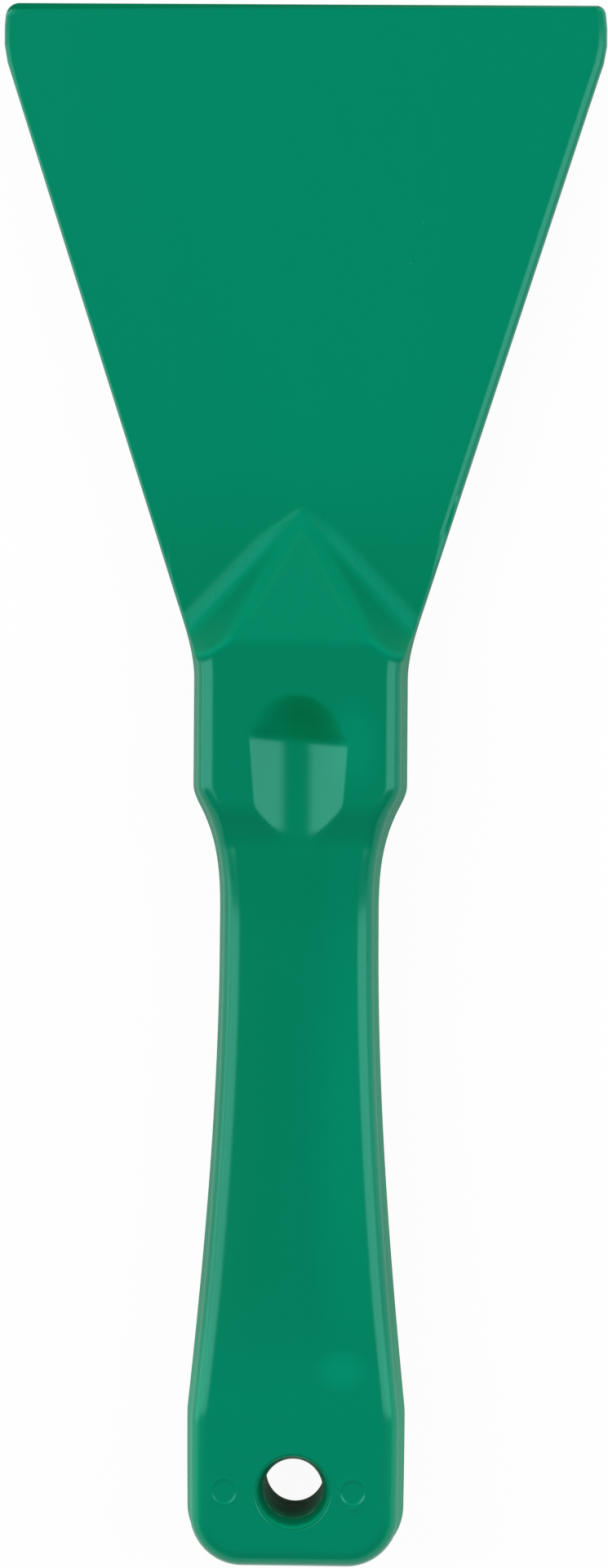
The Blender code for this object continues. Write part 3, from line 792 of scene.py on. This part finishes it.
# Two soft boxes leave a dark gap over the camera, and a dimmer rim on the inner side of each makes the gap's
# edges softer. Each box has a dim wing toward the blade's end, and the left one goes on down to the table,
# dimmer too. The fills stand before the blade and behind the tail and light it without a reflection.
studio = {
    "distance": 1.2,
    "boxes": {
        # where it stands, in degrees anticlockwise from the right; near and far edge, in degrees from
        # straight up; start and end, in metres sideways; radiance
        "right box": (0, 21.0, 70.0, -0.21, 0.34, 2.85),
        "right rim": (0, 16.0, 21.0, -0.19, 0.31, 1.2),
        "left box": (180, 19.0, 60.0, -0.34, 0.21, 2.85),
        "left rim": (180, 14.0, 19.0, -0.31, 0.19, 1.2),
        "left wing": (180, 12.6, 60.0, -0.95, -0.35, 0.7),
        "right wing": (0, 14.6, 70.0, 0.35, 0.95, 0.12),
        "low left box": (180, 58.0, 88.0, -0.3, 0.3, 1.8),
        "fill": (90, 46.0, 86.0, -1.2, 1.2, 2.1),
        "rear fill": (270, 25.0, 65.0, -0.6, 0.6, 0.6),
    },
    "sky": 0.07,
    "floorSize": 8.0, "backdropRadius": 3.9, "backdropHeight": 1.4, "backdropSteps": 96, "tableDrop": 0.00005,
    "floorColour": "#FAFAFA", "floorRoughness": 0.9, "floorGlow": 0.95,
}


def makeLights():
    for name, (stands, near, far, start, end, radiance) in studio["boxes"].items():
        data = bpy.data.lights.new(name, "AREA")
        tilt, half = math.radians((near + far) / 2), math.radians((far - near) / 2)
        turn = math.radians(stands)
        data.shape = "RECTANGLE"
        data.size = 2 * studio["distance"] * math.tan(half)
        data.size_y = end - start
        # an area lamp's watts for a wanted radiance: radiance times pi times its area
        data.energy = radiance * math.pi * data.size * data.size_y
        lamp = bpy.data.objects.new(name, data)
        bpy.context.scene.collection.objects.link(lamp)
        lamp.visible_glossy = "fill" not in name
        toward = Vector((math.sin(tilt) * math.cos(turn), math.sin(tilt) * math.sin(turn), math.cos(tilt)))
        sideways = Vector((-math.sin(turn), math.cos(turn), 0))
        turned = Matrix((sideways.cross(toward), sideways, toward)).transposed().to_4x4()
        middle = toward * studio["distance"] + sideways * (start + end) / 2
        lamp.matrix_world = Matrix.Translation(middle) @ turned


def makeWorld():
    world = bpy.data.worlds.new("studio")
    world.use_nodes = True
    background = world.node_tree.nodes["Background"]
    background.inputs["Color"].default_value = (1, 1, 1, 1)
    background.inputs["Strength"].default_value = studio["sky"]
    bpy.context.scene.world = world


def paleMatt():
    # painted board that reads as white where nothing shades it
    material = bpy.data.materials.new("pale matt board")
    material.use_nodes = True
    tree = material.node_tree
    shader = tree.nodes["Principled BSDF"]
    shader.inputs["Base Color"].default_value = linearColour(studio["floorColour"])
    shader.inputs["Roughness"].default_value = studio["floorRoughness"]
    # it glows white where the camera sees it, also in a mirror or through glass, and keeps a faint shadow
    rays = addNode(tree, "ShaderNodeLightPath").outputs
    highest = {"operation": "MAXIMUM"}
    seen = addNode(tree, "ShaderNodeMath", highest,
                   links={0: rays["Is Camera Ray"], 1: rays["Is Glossy Ray"]})
    through = addNode(tree, "ShaderNodeMath", highest,
                      links={0: seen.outputs[0], 1: rays["Is Transmission Ray"]})
    share = addNode(tree, "ShaderNodeMath", {"operation": "MULTIPLY"}, {1: studio["floorGlow"]},
                    {0: through.outputs[0]})
    glow = addNode(tree, "ShaderNodeEmission", inputs={"Color": (1, 1, 1, 1), "Strength": 1.0})
    mixed = addNode(tree, "ShaderNodeMixShader",
                    links={0: share.outputs[0], 1: shader.outputs[0], 2: glow.outputs[0]})
    tree.links.new(mixed.outputs[0], tree.nodes["Material Output"].inputs["Surface"])
    return material


def makeStage():
    # square table, and a low round wall on it that stands behind the scraper from every side
    half = studio["floorSize"] / 2
    table = np.array([(-half, -half, 0), (half, -half, 0), (half, half, 0), (-half, half, 0)])
    count = studio["backdropSteps"]
    turn = np.linspace(0, 2 * math.pi, count, endpoint=False)
    ring = np.stack([np.cos(turn), np.sin(turn), 0 * turn], axis=-1) * studio["backdropRadius"]
    wall = np.concatenate([ring, ring + [0, 0, studio["backdropHeight"]]])
    k = np.arange(count)
    sides = np.stack([(k + 1) % count, k, k + count, (k + 1) % count + count], axis=-1)
    material = paleMatt()
    for name, points, faces in (("table", table, [(0, 1, 2, 3)]), ("backdrop", wall, sides.tolist())):
        mesh = bpy.data.meshes.new(name)
        mesh.from_pydata((points - [0, 0, studio["tableDrop"]]).tolist(), [], faces)
        mesh.materials.append(material)
        thing = bpy.data.objects.new(name, mesh)
        bpy.context.scene.collection.objects.link(thing)


makeLights()
makeWorld()
makeStage()
bpy.context.scene.view_settings.view_transform = "Standard"
print("scraper: studio made")
